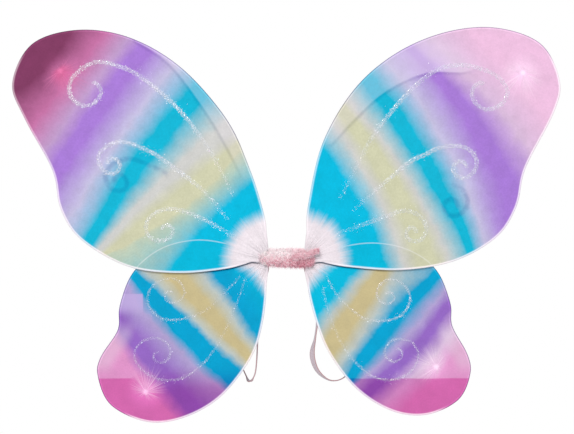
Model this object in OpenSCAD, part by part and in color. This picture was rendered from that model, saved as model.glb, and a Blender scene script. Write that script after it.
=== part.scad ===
// Fairy wings: four stocking-covered wire wings bound together at the middle,
// with two elastic arm loops. Millimetres. X runs across the wings, Z is up and
// +Y points at the wearer. The origin is the middle of the flat that rests on
// the wearer's back, so the wings lie in front of it, at negative Y.

/* [Middle] */
// Width of the plush wound round the middle
wrap_w = 56; // [54:0.5:57]
// Height of the plush
wrap_h = 20; // [18:0.5:21]
// Depth of the plush, from its front to the wearer's back
wrap_d = 18; // [17:0.5:20]
// Corner radius of the plush's section
wrap_r = 6; // [5:0.5:7]
// Corner radius of the plush's ends, seen from the front
wrap_end_r = 8; // [7:0.5:9]

/* [Wings] */
// Thickness of the frame wire
wire_d = 2.2; // [1.8:0.1:2.4]
// Thickness of one layer of stocking
skin = 0.3; // [0.25:0.05:0.35]
// Distance between the planes of the upper and the lower wings
plane_gap = 4; // [3.9:0.1:4.2]
// Width of the glitter lines on the upper wings
upper_glitter_w = 3.8; // [2.6:0.2:4.2]
// Width of the glitter lines on the lower wings
lower_glitter_w = 2.2; // [1.6:0.2:2.8]
// Height of a glitter line above the stocking
glitter_h = 0.5; // [0.3:0.1:0.5]
// Diameter of the knot that ties each stocking's closed end
knot_d = 5; // [4:0.5:7]

/* [Arm loops] */
// Width of the elastic
band_w = 7; // [5:0.5:7]
// Thickness of the elastic
band_t = 1.2; // [0.8:0.1:1.4]

/* [Hidden] */
$fn = 48;

// Planes of the wings, on either side of the middle of the plush
upper_y = -wrap_d / 2 - plane_gap / 2;
lower_y = -wrap_d / 2 + plane_gap / 2;

// Each stocking is a flat bag, open at the root: two layers, with room for the wire
cavity = wire_d + 0.1;
bag = cavity + 2 * skin;
wire_inset = skin + cavity / 2;
wire_sides = 8;
// Steps of curve between two neighbouring outline points
outline_steps = 4;
glitter_steps = 3;
route_steps = 4;
// Length by which the hollow of a bag runs out through its open mouth
mouth = 3;

// Outlines of the wings as [across, up]. Each starts and ends at the mouth.
left_upper = [
    [35, -4], [62, -11], [110, -15], [160, -8], [206, 19], [226, 50], [234, 88], [262, 140], [274, 175],
    [254, 214], [208, 228], [156, 220], [105, 190], [60, 139], [37, 90], [24, 50], [20, 28], [24, 14.5]
];
right_upper = [
    [35, -4], [62, -9], [115, -12], [168, -3], [210, 21], [230, 52], [239, 90], [267, 145], [273, 177],
    [254, 214], [210, 230], [160, 226], [110, 205], [68, 169], [36, 115], [22, 56], [20, 28], [24, 14.5]
];
left_lower = [
    [24, -14.5], [20, -28], [24, -66], [36, -101], [66, -139], [103, -160], [140, -164], [176, -147],
    [189, -118], [186, -99], [169, -72], [167, -48], [154, -15], [126, 9], [90, 18], [55, 13], [35, 3]
];
right_lower = [
    [24, -14.5], [21, -28], [29, -62], [43, -96], [70, -131], [105, -153], [140, -157], [172, -142],
    [184, -116], [181, -96], [166, -68], [164, -45], [150, -12], [122, 8], [88, 15], [55, 11], [35, 3]
];

// Where the closed end of each stocking is gathered and knotted, as [across, up]
left_upper_knot = [226, 187];
right_upper_knot = [236, 185];
left_lower_knot = [141, -134];
right_lower_knot = [150, -109];
knot_h = 1.6;

// Glitter lines as [across, up], from the stem to the middle of the curl
left_upper_top = [
    [53, 62], [75, 105], [108, 149], [147, 182], [172, 193], [187, 196], [198, 193], [207, 187], [214, 180],
    [217, 171], [216, 163], [211, 156], [202, 152], [193, 154], [187, 160], [185, 167], [188, 173],
    [194, 176]
];
left_upper_middle = [
    [58, 38], [84, 68], [127, 101], [145, 110], [157, 115], [167, 116], [177, 113], [184, 108], [188, 101],
    [187, 94], [184, 88], [179, 85], [173, 84], [168, 87], [166, 92], [168, 97], [173, 100], [178, 98],
    [179, 94]
];
left_upper_bottom = [
    [47, 19], [81, 38], [97, 45], [107, 48], [117, 49], [127, 47], [135, 42], [140, 35], [140, 27],
    [136, 20], [129, 17], [121, 18], [115, 22], [113, 28], [117, 33], [123, 32], [125, 28]
];
right_upper_top = [
    [54, 59], [82, 115], [120, 164], [147, 186], [164, 192], [182, 192], [200, 187], [211, 181], [218, 173],
    [221, 164], [217, 156], [210, 151], [201, 148], [193, 151], [187, 157], [185, 164], [187, 171],
    [193, 175], [198, 174]
];
right_upper_middle = [
    [66, 47], [119, 93], [138, 103], [147, 108], [156, 111], [166, 112], [176, 111], [184, 107], [189, 100],
    [190, 93], [187, 86], [181, 81], [174, 80], [168, 84], [166, 90], [169, 95], [174, 97], [179, 94],
    [180, 90]
];
right_upper_bottom = [
    [50, 24], [78, 34], [103, 43], [113, 47], [122, 47], [130, 44], [136, 38], [140, 30], [138, 22],
    [132, 17], [125, 17], [120, 21], [120, 27], [124, 31], [129, 29], [130, 25]
];
left_lower_outer = [
    [46, -18], [64, -37], [82, -53], [100, -60], [112, -62], [123, -61], [132, -56], [138, -48], [139, -38],
    [135, -29], [127, -23], [117, -20], [108, -23], [103, -29], [102, -36], [106, -42], [112, -45],
    [118, -44], [122, -40], [121, -35], [117, -33], [113, -35]
];
left_lower_inner = [
    [41, -20], [48, -41], [57, -63], [68, -85], [81, -103], [93, -114], [104, -120], [114, -122],
    [124, -122], [134, -119], [144, -112], [151, -103], [152, -94], [148, -87], [141, -82], [131, -80],
    [122, -83], [117, -89], [116, -96], [119, -102], [125, -105], [131, -103], [134, -99], [132, -95],
    [128, -94]
];
right_lower_outer = [
    [40, -18], [46, -30], [54, -41], [66, -53], [80, -61], [92, -63], [104, -62], [114, -58], [121, -50],
    [124, -40], [121, -31], [115, -25], [107, -21], [98, -23], [92, -29], [90, -36], [93, -43], [99, -46],
    [105, -45], [108, -41], [107, -36], [103, -34], [99, -36]
];
right_lower_inner = [
    [36, -28], [41, -50], [50, -75], [64, -99], [82, -116], [94, -121], [104, -122], [114, -120],
    [123, -115], [130, -106], [132, -96], [129, -88], [123, -83], [115, -81], [106, -82], [100, -88],
    [98, -95], [101, -101], [107, -104], [113, -102], [116, -97], [115, -92], [110, -91]
];

// Middle line of each arm loop, from its inner end to its outer end, as
// [across, towards the wearer, up, turn of the width away from across]
left_route = [
    [-21, -3.2, -11, 0], [-21.5, -0.5, -13, 0], [-22.5, 2.4, -17, 0], [-25, 5, -30, 30], [-28, 6.5, -52, 60],
    [-29, 8, -80, 85], [-30, 9, -103, 88], [-32, 13, -118, 88], [-37, 21, -125, 88], [-42, 30, -119, 88],
    [-48, 36, -103, 85], [-48, 37, -80, 70], [-42, 31, -52, 45], [-31, 17, -30, 15], [-24, 5.4, -17, 0],
    [-22, 1.6, -13, 0], [-21, -1.5, -11, 0]
];
right_route = [
    [21, -3.2, -11, 0], [21.5, -0.5, -13, 0], [22.5, 2.4, -17, 0], [26, 6, -32, -30], [31, 8.5, -58, -70],
    [29, 10, -80, -80], [26, 11, -98, -50], [31, 13, -114, -60], [43, 16, -124, -80], [56, 18, -123, -85],
    [67, 20, -112, -80], [71, 21, -95, -70], [63, 20, -68, -50], [46, 16, -42, -25], [31, 9.5, -26, -10],
    [24, 5, -17, 0], [22, 1.6, -13, 0], [21, -1.5, -11, 0]
];

// The wire tails lie in two rows of four inside the binding tape
tail_pitch = 3;
tail_short = 20;
tail_long = wrap_w / 2 - 1;
tape_w = 46;
tape_wall = 0.7;
tape_in_h = 4 * tail_pitch + 0.4;
tape_in_d = plane_gap + wire_d + 1;
tape_r = 2;

// Space inside the plush for the tape, and slots for the ends of the elastic
play = 0.2;
channel_h = tape_in_h + 2 * tape_wall + 2 * play;
channel_d = tape_in_d + 2 * tape_wall + 2 * play;
strap_x = 21;
strap_end_w = 6;
strap_end_places = [-1.5, -3.2];
strap_end_low = -8.4;
strap_end_high = -3;
slot_y = (strap_end_places[0] + strap_end_places[1]) / 2;
slot_d = strap_end_places[0] - strap_end_places[1] + band_t + 2 * play;

// The loose end of the plush, on the right of the middle
tail_tip_r = 1.2;
tail_root_r = 3;
tail_length = 18;
tail_from = [10, 2];
tail_tilt = 75;

// Point on the smooth curve through a, b, c and d, from b at t = 0 to c at t = 1
function bend(a, b, c, d, t) =
    (2 * b + (c - a) * t + (2 * a - 5 * b + 4 * c - d) * t * t + (3 * b - a - 3 * c + d) * t * t * t) / 2;

// Smooth curve through a list of points
function through(p, steps) = [
    for (i = [0 : len(p) - 2], k = [0 : steps - 1])
        bend(p[max(i - 1, 0)], p[i], p[i + 1], p[min(i + 2, len(p) - 1)], k / steps),
    p[len(p) - 1]
];

// A list of [across, up] points placed on one side, 1 for right and -1 for left
function placed(p, hand) = [for (q = p) [hand * q[0], q[1]]];

function unit(v) = v / norm(v);

// Direction of travel along a curve, and the direction to the left of it
function ahead(p, i) = unit(p[min(i + 1, len(p) - 1)] - p[max(i - 1, 0)]);
function left_of(p, i) = let (d = ahead(p, i)) [-d[1], d[0]];

// A flat curve moved to the left of its travel
function shifted(p, by) = [for (i = [0 : len(p) - 1]) p[i] + by * left_of(p, i)];

function reversed(p) = [for (i = [len(p) - 1 : -1 : 0]) p[i]];

// Ring of points round place i of a flat curve, for the wire
function wire_ring(p, i, y) =
    let (n = left_of(p, i), r = wire_d / 2)
    [for (k = [0 : wire_sides - 1])
        let (a = 360 * k / wire_sides)
        [p[i][0] + r * cos(a) * n[0], y + r * sin(a), p[i][1] + r * cos(a) * n[1]]];

// Ring of the band's four corners at place i of a route
function place(q) = [q[0], q[1], q[2]];
function band_ring(p, i) =
    let (
        travel = unit(place(p[min(i + 1, len(p) - 1)]) - place(p[max(i - 1, 0)])),
        across = unit(cross(travel, [0, 1, 0])),
        back = cross(across, travel),
        wide = across * cos(p[i][3]) + back * sin(p[i][3]),
        thick = cross(wide, travel)
    )
    [for (c = [[1, 1], [-1, 1], [-1, -1], [1, -1]])
        place(p[i]) + c[0] * wide * band_w / 2 + c[1] * thick * band_t / 2];

// Rectangle with round corners, as points in equal steps of angle
function round_box(w, h, r) = [
    for (q = [0 : 3], k = [0 : 8])
        let (a = 90 * q + 90 * k / 8, sx = (q == 0 || q == 3) ? 1 : -1, sy = (q < 2) ? 1 : -1)
        [sx * (w / 2 - r) + r * cos(a), sy * (h / 2 - r) + r * sin(a)]
];

// Solid swept through rings of equal length, closed at both ends
module sweep(rings) {
    n = len(rings[0]);
    last = len(rings) - 1;
    near = [
        for (i = [0 : last - 1], k = [0 : n - 1])
            [i * n + k, i * n + (k + 1) % n, (i + 1) * n + (k + 1) % n]
    ];
    far = [
        for (i = [0 : last - 1], k = [0 : n - 1])
            [i * n + k, (i + 1) * n + (k + 1) % n, (i + 1) * n + k]
    ];
    first_cap = [[for (k = [n - 1 : -1 : 0]) k]];
    last_cap = [[for (k = [0 : n - 1]) last * n + k]];
    polyhedron([for (ring = rings, q = ring) q], concat(near, far, first_cap, last_cap), convexity = 8);
}

// Flat upright plate with an [across, up] outline, centred on plane y
module plate(points, y, thick) {
    translate([0, y + thick / 2, 0])
        rotate([90, 0, 0])
            linear_extrude(thick, convexity = 8)
                polygon(points);
}

// Bar along X with a [depth, up] outline, centred on x
module bar(points, x, length) {
    translate([x - length / 2, 0, 0])
        rotate([90, 0, 90])
            linear_extrude(length)
                polygon(points);
}

// Rounded solid of the wound plush, less the space inside it
module plush_wrap() {
    middle_y = -wrap_d / 2;
    color("pink")
        difference() {
            intersection() {
                translate([0, middle_y, 0])
                    bar(round_box(wrap_d, wrap_h, wrap_r), 0, wrap_w);
                plate(round_box(wrap_w, wrap_h, wrap_end_r), middle_y, 2 * wrap_d);
            }
            translate([0, middle_y, 0])
                bar(round_box(channel_d, channel_h, tape_r), 0, 2 * wrap_w);
            for (hand = [-1, 1])
                translate([hand * strap_x, slot_y, strap_end_high + play - wrap_h / 2])
                    cube([strap_end_w + 2 * play, slot_d, wrap_h], center = true);
        }
}

// Loose end of the plush, lying on the front of the middle
module plush_tail() {
    color("lightpink")
        translate([tail_from[0], -wrap_d - tail_root_r, tail_from[1]])
            rotate([0, tail_tilt, 0])
                rotate_extrude()
                    polygon([
                        [0, 0], [tail_root_r, 0], [tail_root_r, tail_length / 2], [tail_tip_r, tail_length],
                        [0, tail_length]
                    ]);
}

module binding_tape() {
    color("white")
        translate([0, -wrap_d / 2, 0])
            difference() {
                bar(round_box(tape_in_d + 2 * tape_wall, tape_in_h + 2 * tape_wall, tape_r), 0, tape_w);
                bar(round_box(tape_in_d, tape_in_h, tape_r - tape_wall), 0, 2 * tape_w);
            }
}

// The two ends of one wing's wire, bound into the middle
module wire_tails(y, hand, rows) {
    color("gainsboro")
        for (row = rows)
            translate([-hand * tail_short, y, row * tail_pitch])
                rotate([0, hand * 90, 0])
                    cylinder(h = tail_long + tail_short, d = wire_d);
}

module left_upper_wire_tails() { wire_tails(upper_y, -1, [1.5, -0.5]); }
module right_upper_wire_tails() { wire_tails(upper_y, 1, [0.5, -1.5]); }
module left_lower_wire_tails() { wire_tails(lower_y, -1, [1.5, -0.5]); }
module right_lower_wire_tails() { wire_tails(lower_y, 1, [0.5, -1.5]); }

// The two ends of one elastic loop, caught under the plush
module strap_ends(hand) {
    color("lavender")
        for (y = strap_end_places)
            translate([hand * strap_x, y, (strap_end_low + strap_end_high) / 2])
                cube([strap_end_w, band_t, strap_end_high - strap_end_low], center = true);
}

module left_strap_ends() { strap_ends(-1); }
module right_strap_ends() { strap_ends(1); }

// Bent wire of one wing, just inside its outline
module frame_wire(outline, hand, y) {
    path = shifted(through(placed(outline, hand), outline_steps), hand * wire_inset);
    color("white")
        sweep([for (i = [0 : len(path) - 1]) wire_ring(path, i, y)]);
}

module left_upper_frame_wire() { frame_wire(left_upper, -1, upper_y); }
module right_upper_frame_wire() { frame_wire(right_upper, 1, upper_y); }
module left_lower_frame_wire() { frame_wire(left_lower, -1, lower_y); }
module right_lower_frame_wire() { frame_wire(right_lower, 1, lower_y); }

// Stocking of one wing: a flat bag round the wire, open at the root
module stocking(outline, hand, y, shade) {
    rim = through(placed(outline, hand), outline_steps);
    hollow = shifted(rim, hand * skin);
    first = hollow[0];
    last = hollow[len(hollow) - 1];
    gap = unit(last - first);
    out = mouth * hand * [-gap[1], gap[0]];
    color(shade)
        difference() {
            plate(rim, y, bag);
            plate(concat([first + out], hollow, [last + out]), y, cavity);
        }
}

module left_upper_stocking() { stocking(left_upper, -1, upper_y, "deepskyblue"); }
module right_upper_stocking() { stocking(right_upper, 1, upper_y, "skyblue"); }
module left_lower_stocking() { stocking(left_lower, -1, lower_y, "mediumpurple"); }
module right_lower_stocking() { stocking(right_lower, 1, lower_y, "orchid"); }

// Thread knot round the gathered end of a stocking, on the wearer's side
module tip_knot(at, hand, y) {
    color("plum")
        translate([hand * at[0], y + bag / 2, at[1]])
            rotate([-90, 0, 0])
                cylinder(h = knot_h, d = knot_d);
}

module left_upper_tip_knot() { tip_knot(left_upper_knot, -1, upper_y); }
module right_upper_tip_knot() { tip_knot(right_upper_knot, 1, upper_y); }
module left_lower_tip_knot() { tip_knot(left_lower_knot, -1, lower_y); }
module right_lower_tip_knot() { tip_knot(right_lower_knot, 1, lower_y); }

// One line of glitter on the front of a stocking, a little narrower towards its curl
module glitter(points, hand, y, width) {
    line = through(placed(points, hand), glitter_steps);
    last = len(line) - 1;
    half = [for (i = [0 : last]) width / 2 * (1 - 0.2 * i / last)];
    one_edge = [for (i = [0 : last]) line[i] + half[i] * left_of(line, i)];
    other_edge = [for (i = [0 : last]) line[i] - half[i] * left_of(line, i)];
    color("aliceblue")
        plate(concat(one_edge, reversed(other_edge)), y - bag / 2 - glitter_h / 2, glitter_h);
}

module left_upper_glitter_top() { glitter(left_upper_top, -1, upper_y, upper_glitter_w); }
module left_upper_glitter_middle() { glitter(left_upper_middle, -1, upper_y, upper_glitter_w); }
module left_upper_glitter_bottom() { glitter(left_upper_bottom, -1, upper_y, upper_glitter_w); }
module right_upper_glitter_top() { glitter(right_upper_top, 1, upper_y, upper_glitter_w); }
module right_upper_glitter_middle() { glitter(right_upper_middle, 1, upper_y, upper_glitter_w); }
module right_upper_glitter_bottom() { glitter(right_upper_bottom, 1, upper_y, upper_glitter_w); }
module left_lower_glitter_outer() { glitter(left_lower_outer, -1, lower_y, lower_glitter_w); }
module left_lower_glitter_inner() { glitter(left_lower_inner, -1, lower_y, lower_glitter_w); }
module right_lower_glitter_outer() { glitter(right_lower_outer, 1, lower_y, lower_glitter_w); }
module right_lower_glitter_inner() { glitter(right_lower_inner, 1, lower_y, lower_glitter_w); }

// Elastic arm loop, from one of its ends under the plush to the other
module strap_loop(route) {
    path = through(route, route_steps);
    color("lavenderblush")
        sweep([for (i = [0 : len(path) - 1]) band_ring(path, i)]);
}

module left_strap_loop() { strap_loop(left_route); }
module right_strap_loop() { strap_loop(right_route); }

plush_wrap();
plush_tail();
binding_tape();
left_upper_wire_tails();
left_lower_wire_tails();
right_upper_wire_tails();
right_lower_wire_tails();
left_strap_ends();
right_strap_ends();
left_upper_frame_wire();
left_upper_stocking();
left_upper_tip_knot();
left_upper_glitter_top();
left_upper_glitter_middle();
left_upper_glitter_bottom();
left_lower_frame_wire();
left_lower_stocking();
left_lower_tip_knot();
left_lower_glitter_outer();
left_lower_glitter_inner();
right_upper_frame_wire();
right_upper_stocking();
right_upper_tip_knot();
right_upper_glitter_top();
right_upper_glitter_middle();
right_upper_glitter_bottom();
right_lower_frame_wire();
right_lower_stocking();
right_lower_tip_knot();
right_lower_glitter_outer();
right_lower_glitter_inner();
left_strap_loop();
right_strap_loop();
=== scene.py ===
"""Looks of the fairy wings: dyed stockings on wire, glitter lines, a plush middle and elastic arm loops.

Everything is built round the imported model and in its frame: +X right, +Y towards the wearer, +Z up.
Shapes are worked out in millimetres and become metres in mesh_object(). On a wing, a flat point is
[across, up], where across grows away from the middle on both sides.
"""

import math

import bpy
import numpy as np
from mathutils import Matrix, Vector
from mathutils.geometry import delaunay_2d_cdt


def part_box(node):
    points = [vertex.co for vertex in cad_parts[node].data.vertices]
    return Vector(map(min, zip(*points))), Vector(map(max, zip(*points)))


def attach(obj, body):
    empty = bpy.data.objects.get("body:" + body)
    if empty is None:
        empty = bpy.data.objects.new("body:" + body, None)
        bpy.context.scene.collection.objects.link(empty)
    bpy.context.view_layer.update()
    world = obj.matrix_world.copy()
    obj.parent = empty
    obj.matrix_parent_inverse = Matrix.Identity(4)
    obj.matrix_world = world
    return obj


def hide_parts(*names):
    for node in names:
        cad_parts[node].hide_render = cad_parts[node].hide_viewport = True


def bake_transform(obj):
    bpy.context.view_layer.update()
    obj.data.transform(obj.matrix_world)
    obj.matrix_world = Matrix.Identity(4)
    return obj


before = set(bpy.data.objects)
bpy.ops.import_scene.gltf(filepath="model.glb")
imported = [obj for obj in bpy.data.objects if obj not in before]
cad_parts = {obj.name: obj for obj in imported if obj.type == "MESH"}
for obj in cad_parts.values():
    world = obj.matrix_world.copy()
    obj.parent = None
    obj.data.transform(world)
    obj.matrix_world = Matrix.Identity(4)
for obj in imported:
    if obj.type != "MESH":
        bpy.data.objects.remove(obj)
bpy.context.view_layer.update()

MM = 0.001
rng = np.random.default_rng(11)

# ---------------------------------------------------------------- shape helpers


def bend(a, b, c, d, t):
    """Point on the smooth curve through a, b, c and d, from b at t = 0 to c at t = 1."""
    return (2 * b + (c - a) * t + (2 * a - 5 * b + 4 * c - d) * t**2 + (3 * b - a - 3 * c + d) * t**3) / 2


def curve(points, steps):
    """Smooth curve through points, with some steps between each two."""
    p = np.asarray(points, float)
    last = len(p) - 1
    out = []
    for i in range(last):
        a, b, c, d = p[max(i - 1, 0)], p[i], p[i + 1], p[min(i + 2, last)]
        out += [bend(a, b, c, d, k / steps) for k in range(steps)]
    return np.array(out + [p[last]])


def evenly(points, step):
    """The same line with points about one step apart."""
    p = np.asarray(points, float)
    along = np.concatenate([[0], np.cumsum(np.linalg.norm(np.diff(p, axis=0), axis=1))])
    count = max(2, int(round(along[-1] / step)))
    spots = np.linspace(0, along[-1], count + 1)
    return np.stack([np.interp(spots, along, p[:, k]) for k in range(p.shape[1])], axis=1)


def unit(v):
    return v / np.maximum(np.linalg.norm(v, axis=-1, keepdims=True), 1e-9)


def travel(line):
    """Direction of travel at each point of a line."""
    return unit(np.gradient(np.asarray(line, float), axis=0))


def left_of(line):
    """Direction to the left of travel at each point of a flat line."""
    t = travel(line)
    return np.stack([-t[:, 1], t[:, 0]], axis=1)


def distance(points, line):
    """Distance from each point to a line of segments."""
    best = np.full(len(points), 1e9)
    for a, b in zip(line[:-1], line[1:]):
        ab = b - a
        t = np.clip(((points - a) @ ab) / max(ab @ ab, 1e-12), 0, 1)
        best = np.minimum(best, np.linalg.norm(points - (a + t[:, None] * ab), axis=1))
    return best


def inside(points, loop):
    """Which points lie inside a closed flat loop."""
    x, y = points[:, 0], points[:, 1]
    found = np.zeros(len(points), bool)
    for (ax, ay), (bx, by) in zip(loop, np.roll(loop, -1, axis=0)):
        crosses = (ay > y) != (by > y)
        found ^= crosses & (x < (bx - ax) * (y - ay) / (by - ay + 1e-12) + ax)
    return found


def ease(t):
    """0 below t = 0, 1 above t = 1 and smooth between."""
    t = np.clip(t, 0, 1)
    return t * t * (3 - 2 * t)


def beside(line, reaches):
    """The line moved to its left and to its right by each reach."""
    side = left_of(line)
    return [line + sign * reach * side for reach in reaches for sign in (1, -1)]


def joined(*shapes):
    """Points and faces of several shapes as one."""
    faces = []
    shift = 0
    for points, own_faces in shapes:
        faces += [tuple(v + shift for v in face) for face in own_faces]
        shift += len(points)
    return np.concatenate([points for points, _ in shapes]), faces


def mesh_object(name, points, faces, materials, attributes=None, picks=None):
    """New object from points in millimetres. picks holds a material index for each face."""
    mesh = bpy.data.meshes.new(name)
    mesh.from_pydata((np.asarray(points, float) * MM).tolist(), [], faces)
    for material in materials:
        mesh.materials.append(material)
    if picks is not None:
        mesh.polygons.foreach_set("material_index", np.asarray(picks, np.int32))
    for key, values in (attributes or {}).items():
        mesh.attributes.new(key, "FLOAT", "POINT").data.foreach_set("value", np.asarray(values, np.float32))
    mesh.polygons.foreach_set("use_smooth", [True] * len(mesh.polygons))
    mesh.update()
    made = bpy.data.objects.new(name, mesh)
    bpy.context.scene.collection.objects.link(made)
    return made


def tube(rings, closed_ends=True):
    """Points and faces of a skin through rings of equal length."""
    count, sides = len(rings), len(rings[0])
    faces = []
    for i in range(count - 1):
        for k in range(sides):
            m = (k + 1) % sides
            faces.append((i * sides + k, i * sides + m, (i + 1) * sides + m, (i + 1) * sides + k))
    if closed_ends:
        faces.append(tuple(reversed(range(sides))))
        faces.append(tuple(range((count - 1) * sides, count * sides)))
    return np.concatenate(rings), faces


def round_tube(path, radii, sides):
    """Rings of circles along a path in space, turned as little as possible."""
    path = np.asarray(path, float)
    ahead = travel(path)
    side = unit(np.cross(ahead[0], [0.3, 1.0, 0.2]))
    rings = []
    angles = np.arange(sides) * 2 * math.pi / sides
    for point, forward, radius in zip(path, ahead, radii):
        side = unit(side - (side @ forward) * forward)
        other = np.cross(forward, side)
        rings.append(point + radius * (np.outer(np.cos(angles), side) + np.outer(np.sin(angles), other)))
    return rings


# ---------------------------------------------------------------- material helpers


class Look:
    """A node material, written as calls that return sockets."""

    def __init__(self, name):
        self.material = bpy.data.materials.new(name)
        self.material.use_nodes = True
        self.tree = self.material.node_tree
        self.tree.nodes.clear()

    def add(self, kind, inputs=None, out=0, **settings):
        """One node: its settings, its inputs as values or sockets, and the socket to hand back."""
        made = self.tree.nodes.new(kind)
        for key, value in settings.items():
            setattr(made, key, value)
        for key, value in (inputs or {}).items():
            if isinstance(value, bpy.types.NodeSocket):
                self.tree.links.new(value, made.inputs[key])
            else:
                made.inputs[key].default_value = value
        return made.outputs[out]

    def math(self, operation, a, b=0.0, clamp=False):
        return self.add("ShaderNodeMath", {0: a, 1: b}, operation=operation, use_clamp=clamp)

    def times(self, first, *others):
        for other in others:
            first = self.math("MULTIPLY", first, other)
        return first

    def plus(self, first, *others):
        for other in others:
            first = self.math("ADD", first, other)
        return first

    def minus(self, a, b):
        return self.math("SUBTRACT", a, b)

    def rest(self, share):
        """What a share leaves of 1."""
        return self.minus(1.0, share)

    def waves(self, value, length):
        """Sine waves of this length."""
        return self.math("SINE", self.times(value, 2 * math.pi / length))

    def swing(self, value, width):
        """A value from 0 to 1, as a swing of this width about 0."""
        return self.times(self.minus(value, 0.5), width)

    def vector(self, operation, a, b=(0, 0, 0), out=0):
        return self.add("ShaderNodeVectorMath", {0: a, 1: b}, out=out, operation=operation)

    def scaled(self, vector, factor):
        return self.add("ShaderNodeVectorMath", {0: vector, "Scale": factor}, operation="SCALE")

    def attribute(self, name):
        return self.add("ShaderNodeAttribute", out="Fac", attribute_name=name)

    def place(self):
        return self.add("ShaderNodeTexCoord", out="Object")

    def fall(self, value, start, end):
        """1 up to start, 0 from end on."""
        return self.add(
            "ShaderNodeMapRange",
            {"Value": value, "From Min": start, "From Max": end, "To Min": 1.0, "To Max": 0.0},
            interpolation_type="SMOOTHSTEP",
        )

    def rise(self, value, start, end):
        """0 up to start, 1 from end on."""
        return self.rest(self.fall(value, start, end))

    def change(self, value, start, end, low, high):
        """low up to start, high from end on, straight between."""
        inputs = {"Value": value, "From Min": start, "From Max": end, "To Min": low, "To Max": high}
        return self.add("ShaderNodeMapRange", inputs)

    def noise(self, vector, scale, detail=2.0, rough=0.5):
        inputs = {"Vector": vector, "Scale": scale, "Detail": detail, "Roughness": rough}
        return self.add("ShaderNodeTexNoise", inputs)

    def ramp(self, value, stops):
        """Colours by value, from stops of (value, colour)."""
        made = self.tree.nodes.new("ShaderNodeValToRGB")
        elements = made.color_ramp.elements
        while len(elements) > 1:
            elements.remove(elements[-1])
        for i, (position, colour) in enumerate(stops):
            element = elements[0] if i == 0 else elements.new(position)
            element.position = position
            element.color = (*colour, 1.0)
        self.tree.links.new(value, made.inputs[0])
        return made.outputs[0]

    def greys(self, value, *stops):
        """Greys by value, from stops of (value, grey)."""
        return self.ramp(value, [(at, (grey,) * 3) for at, grey in stops])

    def mix(self, factor, a, b, blend="MIX"):
        """Colour a turned towards b by the factor."""
        made = self.tree.nodes.new("ShaderNodeMix")
        made.data_type = "RGBA"
        made.blend_type = blend
        for key, value in (("Factor", factor), (6, a), (7, b)):
            socket = made.inputs[key]
            if isinstance(value, bpy.types.NodeSocket):
                self.tree.links.new(value, socket)
            else:
                socket.default_value = value if isinstance(value, float) else (*value, 1.0)
        return made.outputs[2]

    def bump(self, height, depth, normal=None):
        inputs = {"Height": height, "Strength": 1.0, "Distance": depth}
        if normal is not None:
            inputs["Normal"] = normal
        return self.add("ShaderNodeBump", inputs)

    def principled(self, **inputs):
        named = {key.replace("_", " "): value for key, value in inputs.items()}
        return self.add("ShaderNodeBsdfPrincipled", named)

    def clear(self, colour):
        return self.add("ShaderNodeBsdfTransparent", {"Color": colour})

    def finish(self, shader):
        output = self.tree.nodes.new("ShaderNodeOutputMaterial")
        self.tree.links.new(shader, output.inputs["Surface"])
        return self.material


def srgb(red, green, blue):
    """A colour given as 0..255, made linear."""
    shares = (red / 255, green / 255, blue / 255)
    return tuple(c / 12.92 if c <= 0.04045 else ((c + 0.055) / 1.055) ** 2.4 for c in shares)


# ---------------------------------------------------------------- wings

# Length of the dyed part of a stocking, from its root
DYE_LENGTH = 300


# The scene's light brightens each of the cloth's colours by about this, and its bright ones by less
LIGHT_GAIN = (1.06, 1.06, 1.035)
LIGHT_LOSS = 0.15


def dyed(red, green, blue):
    """Colour of cloth that comes out as this one in the scene's light."""
    shares = zip(srgb(red, green, blue), LIGHT_GAIN)
    return tuple(c * (gain - LIGHT_LOSS * c) for c, gain in shares)


WHITE = srgb(233, 224, 230)
# Reach of the undyed neck from the pleats' focus, in metres, and how far it grows towards the edges
NECK_REACH = {"upper": (0.0505, 0.0), "lower": (0.0315, 0.060)}
# The dyes
CYAN = dyed(0, 190, 230)
AQUA = dyed(15, 185, 220)
BLUE = dyed(0, 165, 215)
GREY = dyed(210, 210, 210)
DULL = dyed(190, 200, 200)
SAND = dyed(210, 210, 180)
STRAW = dyed(205, 190, 145)
LILAC = dyed(200, 195, 230)
DUSK = dyed(180, 165, 215)
VIOLET = dyed(170, 125, 220)
PURPLE = dyed(150, 105, 200)
MAUVE = dyed(195, 160, 210)
ROSE = dyed(200, 115, 170)
# Painted shade: the left upper tip's deep plum stands for the dark ground behind the sheer cloth
PLUM_PAINTED_SHADE = dyed(130, 60, 100)
HAZE = dyed(220, 190, 225)
BLUSH = dyed(225, 150, 205)
BLOOM = dyed(240, 195, 230)

# Dye of each stocking, as (millimetres from its root, colour)
DYES = {
    "left_upper": [(0, CYAN), (63, CYAN), (90, SAND), (106, SAND), (120, GREY), (127, GREY), (148, AQUA)]
    + [(163, AQUA), (188, LILAC), (214, VIOLET), (226, VIOLET), (240, MAUVE), (264, ROSE), (288, PLUM_PAINTED_SHADE)],
    "right_upper": [(0, CYAN), (72, CYAN), (92, GREY), (104, SAND), (118, SAND), (127, GREY), (145, AQUA)]
    + [(157, AQUA), (178, LILAC), (208, VIOLET), (219, VIOLET), (240, HAZE), (270, BLOOM)],
    "left_lower": [(0, CYAN), (42, BLUE), (50, BLUE), (61, DULL), (72, STRAW), (82, STRAW), (91, DULL)]
    + [(97, BLUE), (115, BLUE), (126, DUSK), (148, PURPLE), (158, PURPLE), (173, BLUSH)],
    "right_lower": [(0, CYAN), (42, CYAN), (53, DULL), (62, STRAW), (76, STRAW), (88, DULL), (99, BLUE)]
    + [(112, BLUE), (125, DUSK), (135, PURPLE), (142, PURPLE), (157, HAZE), (174, BLUSH)],
}
# Where the bands start and which way they run
DYE_ROOT = (22, 2)
DYE_AXES = {
    "left_upper": (0.749, 0.663),
    "right_upper": (0.749, 0.663),
    "left_lower": (0.654, -0.756),
    "right_lower": (0.667, -0.745),
}
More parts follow.
